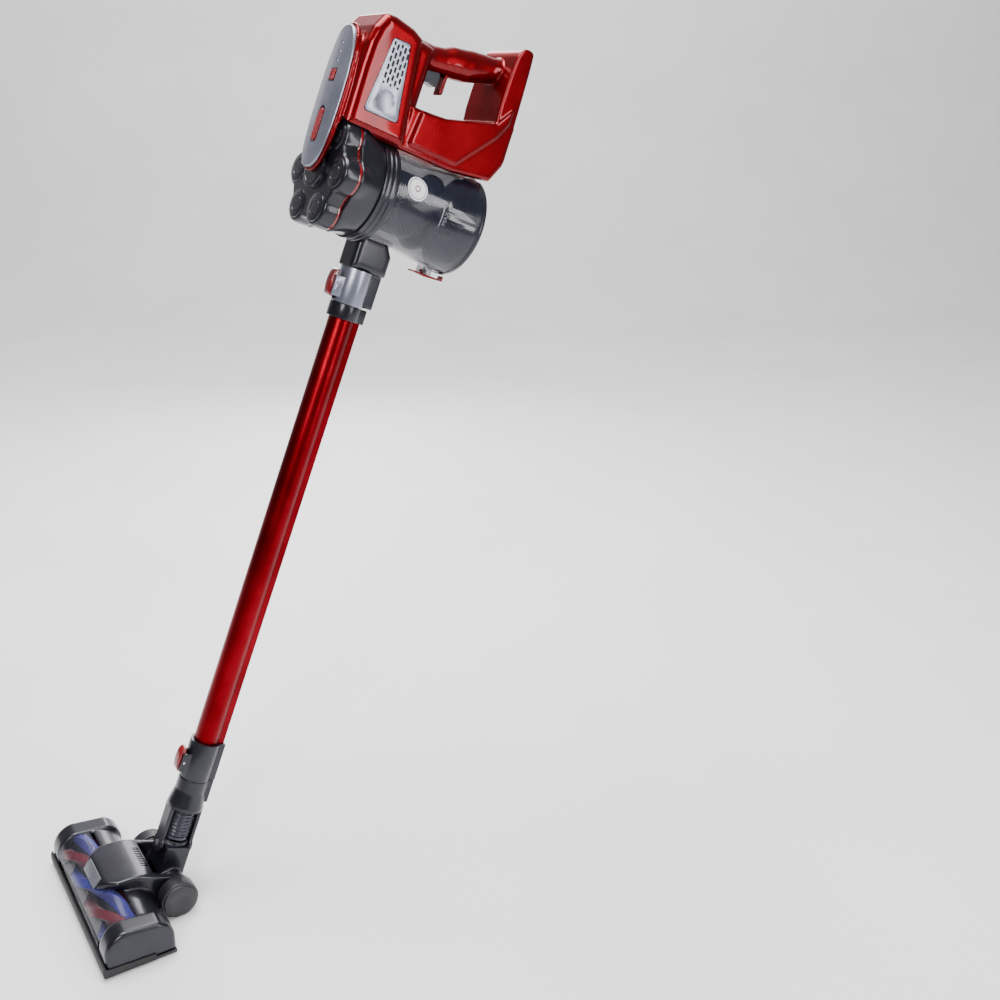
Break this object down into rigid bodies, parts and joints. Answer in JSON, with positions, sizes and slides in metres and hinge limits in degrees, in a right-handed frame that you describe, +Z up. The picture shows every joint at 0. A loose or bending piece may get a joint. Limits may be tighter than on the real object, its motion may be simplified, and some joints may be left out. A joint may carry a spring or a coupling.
{
  "type": "upright vacuum cleaner",
  "caption": "Cordless upright stick vacuum cleaner: hand unit with grip and clear cyclone dust cup, metal wand, jointed neck and floor head with a spinning brush.",
  "frame": {"origin": "on the floor under the middle of the brush housing, midway between the head's ends", "axes": "+Z up; X along the floor head's length; -Y towards the head's front; the wand leans back towards +Y, where the user stands"},
  "size_m": [0.252, 0.6594, 1.0936],
  "materials": {
    "red_gloss": "candy metallic lacquer on moulded ABS",
    "red_tube": "red anodised drawn aluminium",
    "silver": "silver metallic lacquered ABS",
    "grey": "dark grey moulded ABS, satin",
    "black": "black moulded plastic",
    "clear": "clear smoke-tinted polycarbonate",
    "red_clear": "red translucent button plastic",
    "rubber": "black rubber",
    "steel": "steel pins, screws and shafts",
    "cell": "wrapped lithium cells",
    "board": "printed circuit board",
    "light": "light guide",
    "filter": "pleated filter medium",
    "red_tuft": "red nylon bristle",
    "blue_tuft": "blue nylon bristle"
  },
  "bodies": {
    "hand_unit": {"left_shell": "red_gloss", "right_shell": "red_gloss", "top_panel": "silver", "left_vent": "silver", "right_vent": "silver", "motor_housing": "grey", "motor_can": "steel", "battery_cells": "cell", "battery_board": "board", "control_board": "board", "status_lights": "light", "trigger_switch": "black", "body_pins": "steel", "charge_jack": "black", "body_screws": "steel", "inlet_seal": "rubber"},
    "fan": {"impeller": "light"},
    "trigger": {"trigger": "grey"},
    "mode_button": {"mode_button": "red_clear"},
    "cup_release": {"cup_release": "red_clear"},
    "dust_cup": {"cup_wall": "clear", "cup_ring": "grey", "nozzle": "grey", "nozzle_sleeve": "silver", "cyclone_screen": "grey", "cyclone_skirt": "grey", "centre_tube": "grey", "cup_pins": "steel"},
    "cap": {"cap": "grey", "cap_ring": "red_clear", "filter": "filter"},
    "cup_lid": {"cup_lid": "grey", "lid_seal": "rubber"},
    "cup_latch": {"cup_latch": "red_clear"},
    "nozzle_latch": {"nozzle_latch": "red_clear"},
    "wand": {"wand_tube": "red_tube", "upper_collar": "grey", "lower_collar": "grey", "wand_wires": "rubber", "wand_pin": "steel"},
    "wand_latch": {"wand_latch": "red_clear"},
    "neck": {"neck_tube": "grey", "bellows": "rubber"},
    "yoke": {"yoke": "grey", "steer_pins": "steel"},
    "head": {"head_housing": "grey", "head_window": "clear", "bumper": "rubber", "sole_plate": "black", "lamp_lens": "light", "axles": "steel", "head_motor": "steel", "brush_bearings": "steel", "drive_belt": "rubber"},
    "brush": {"brush_core": "grey", "red_bristles": "red_tuft", "blue_bristles": "blue_tuft"},
    "brush_motor": {"motor_pulley": "steel"},
    "left_wheel": {"left_wheel": "black"},
    "right_wheel": {"right_wheel": "black"}
  },
  "joints": [
    {"name": "fan_spin", "type": "hinge", "parent": "hand_unit", "child": "fan", "pos_m": [0, 0.40035, 0.99809], "axis": [0, 0.3681, 0.9298], "continuous": true},
    {"name": "trigger_pull", "type": "hinge", "parent": "hand_unit", "child": "trigger", "pos_m": [0, 0.47078, 1.03474], "axis": [1, 0, 0], "range_deg": [0, 8], "stiffness_Nm_per_rad": 0.5, "springref_deg": -2.86},
    {"name": "mode_press", "type": "slide", "parent": "hand_unit", "child": "mode_button", "axis": [0, 0.9298, -0.3681], "range_m": [0, 0.0015], "stiffness_N_per_m": 600, "springref_m": -0.0005},
    {"name": "cup_release_press", "type": "hinge", "parent": "hand_unit", "child": "cup_release", "pos_m": [0, 0.33565, 0.96778], "axis": [1, 0, 0], "range_deg": [-7, 0], "stiffness_Nm_per_rad": 0.2, "springref_deg": 2.86},
    {"name": "dust_cup_slide", "type": "slide", "parent": "hand_unit", "child": "dust_cup", "axis": [0, -0.3681, -0.9298], "range_m": [0, 0.12]},
    {"name": "cap_twist", "type": "hinge", "parent": "dust_cup", "child": "cap", "pos_m": [0, 0.3561, 0.90806], "axis": [0, 0.9298, -0.3681], "range_deg": [0, 45]},
    {"name": "lid_hinge", "type": "hinge", "parent": "dust_cup", "child": "cup_lid", "pos_m": [0, 0.53989, 0.89907], "axis": [1, 0, 0], "range_deg": [0, 80]},
    {"name": "cup_latch_press", "type": "hinge", "parent": "dust_cup", "child": "cup_latch", "pos_m": [0, 0.47313, 0.79074], "axis": [1, 0, 0], "range_deg": [-8, 0], "stiffness_Nm_per_rad": 0.1, "springref_deg": 2.86},
    {"name": "nozzle_latch_press", "type": "hinge", "parent": "dust_cup", "child": "nozzle_latch", "pos_m": [0, 0.34474, 0.78565], "axis": [1, 0, 0], "range_deg": [-6, 0], "stiffness_Nm_per_rad": 0.1, "springref_deg": 2.86},
    {"name": "wand_slide", "type": "slide", "parent": "dust_cup", "child": "wand", "axis": [0, -0.3681, -0.9298], "range_m": [0, 0.08]},
    {"name": "wand_latch_press", "type": "hinge", "parent": "wand", "child": "wand_latch", "pos_m": [0, 0.1084, 0.18873], "axis": [1, 0, 0], "range_deg": [-6, 0], "stiffness_Nm_per_rad": 0.1, "springref_deg": 2.86},
    {"name": "neck_slide", "type": "slide", "parent": "wand", "child": "neck", "axis": [0, -0.3681, -0.9298], "range_m": [0, 0.06]},
    {"name": "neck_steer", "type": "hinge", "parent": "neck", "child": "yoke", "pos_m": [0, 0.08757, 0.06684], "axis": [0, 0.9298, -0.3681], "range_deg": [-55, 55], "deforming": ["bellows"]},
    {"name": "neck_pitch", "type": "hinge", "parent": "yoke", "child": "head", "pos_m": [0, 0.071, 0.025], "axis": [1, 0, 0], "range_deg": [-21.6, 50]},
    {"name": "brush_spin", "type": "hinge", "parent": "head", "child": "brush", "pos_m": [0, -0.014, 0.027], "axis": [1, 0, 0], "continuous": true},
    {"name": "brush_motor_spin", "type": "hinge", "parent": "head", "child": "brush_motor", "pos_m": [-0.1, 0.03, 0.022], "axis": [1, 0, 0], "continuous": true},
    {"name": "left_wheel_spin", "type": "hinge", "parent": "head", "child": "left_wheel", "pos_m": [0.056, 0.071, 0.025], "axis": [1, 0, 0], "continuous": true},
    {"name": "right_wheel_spin", "type": "hinge", "parent": "head", "child": "right_wheel", "pos_m": [-0.056, 0.071, 0.025], "axis": [1, 0, 0], "continuous": true}
  ],
  "couplings": [
    {"joint": "brush_motor_spin", "follows": "brush_spin", "ratio": 2.2}
  ]
}
